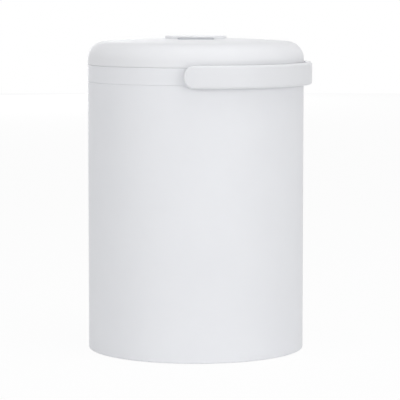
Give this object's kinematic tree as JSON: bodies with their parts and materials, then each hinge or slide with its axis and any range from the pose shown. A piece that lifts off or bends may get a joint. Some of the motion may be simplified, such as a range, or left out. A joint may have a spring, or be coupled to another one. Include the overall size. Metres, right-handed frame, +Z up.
{
  "type": "nappy bin",
  "caption": "Round free-standing nappy bin with a flush collar, lift-off lid with a squeeze-latch grip, side bow handle, bag ring and scent cover.",
  "frame": {"origin": "centre of the base ring's flat underside, on the surface that the bin stands on", "axes": "+Z up along the tub's axis; the front pivot and the front release pad are towards -Y; the handle rests towards +X"},
  "size_m": [0.2598, 0.2696, 0.3639],
  "materials": {
    "white_moulding": "fine satin moulded plastic, all white",
    "trim_moulding": "smooth off-white plastic of the inner parts",
    "pale_pad": "pale cool grey-blue plastic of the squeeze latch",
    "scent_block": "pressed scented wax block",
    "soft_rubber": "soft grey rubber",
    "screw_steel": "plain zinc-coated steel"
  },
  "bodies": {
    "bin": {"outer_tub": "white_moulding", "base_ring": "soft_rubber", "collar_ring": "white_moulding", "pivot_bush_front": "trim_moulding", "pivot_bush_rear": "trim_moulding"},
    "lid": {"lid_shell": "white_moulding", "lid_liner": "white_moulding", "lid_seal": "soft_rubber", "finger_cup_front": "white_moulding", "finger_cup_rear": "white_moulding", "grip_cap": "white_moulding", "grip_screws": "screw_steel", "liner_screws": "screw_steel", "latch_spring_front": "screw_steel", "latch_spring_rear": "screw_steel"},
    "front_latch": {"latch_slide_front": "pale_pad", "release_pad_front": "pale_pad"},
    "rear_latch": {"latch_slide_rear": "pale_pad", "release_pad_rear": "pale_pad"},
    "handle": {"handle_bow": "white_moulding", "handle_inner_cover": "trim_moulding", "pivot_washer_front": "screw_steel", "pivot_washer_rear": "screw_steel", "pivot_screw_front": "screw_steel", "pivot_screw_rear": "screw_steel"},
    "bag_ring": {"bag_ring": "trim_moulding"},
    "scent_cover": {"scent_cover": "trim_moulding", "scent_puck": "scent_block"}
  },
  "joints": [
    {"name": "lid_lift", "type": "slide", "parent": "bin", "child": "lid", "axis": [0, 0, 1], "range_m": [0, 0.12]},
    {"name": "bag_ring_lift", "type": "slide", "parent": "bin", "child": "bag_ring", "axis": [0, 0, 1], "range_m": [0, 0.048]},
    {"name": "front_pad_press", "type": "slide", "parent": "lid", "child": "front_latch", "axis": [0, 1, 0], "range_m": [0, 0.004], "stiffness_N_per_m": 400, "springref_m": -0.003, "deforming": ["latch_spring_front"]},
    {"name": "rear_pad_press", "type": "slide", "parent": "lid", "child": "rear_latch", "axis": [0, -1, 0], "range_m": [0, 0.004], "stiffness_N_per_m": 400, "springref_m": -0.003, "deforming": ["latch_spring_rear"]},
    {"name": "handle_swing", "type": "hinge", "parent": "bin", "child": "handle", "pos_m": [0, 0, 0.3211], "axis": [0, -1, 0], "range_deg": [0, 180]},
    {"name": "scent_cover_turn", "type": "hinge", "parent": "lid", "child": "scent_cover", "pos_m": [0, 0, 0.3224], "axis": [0, 0, 1], "range_deg": [0, 30]}
  ],
  "couplings": [
    {"joint": "bag_ring_lift", "follows": "lid_lift", "ratio": 0.4}
  ]
}
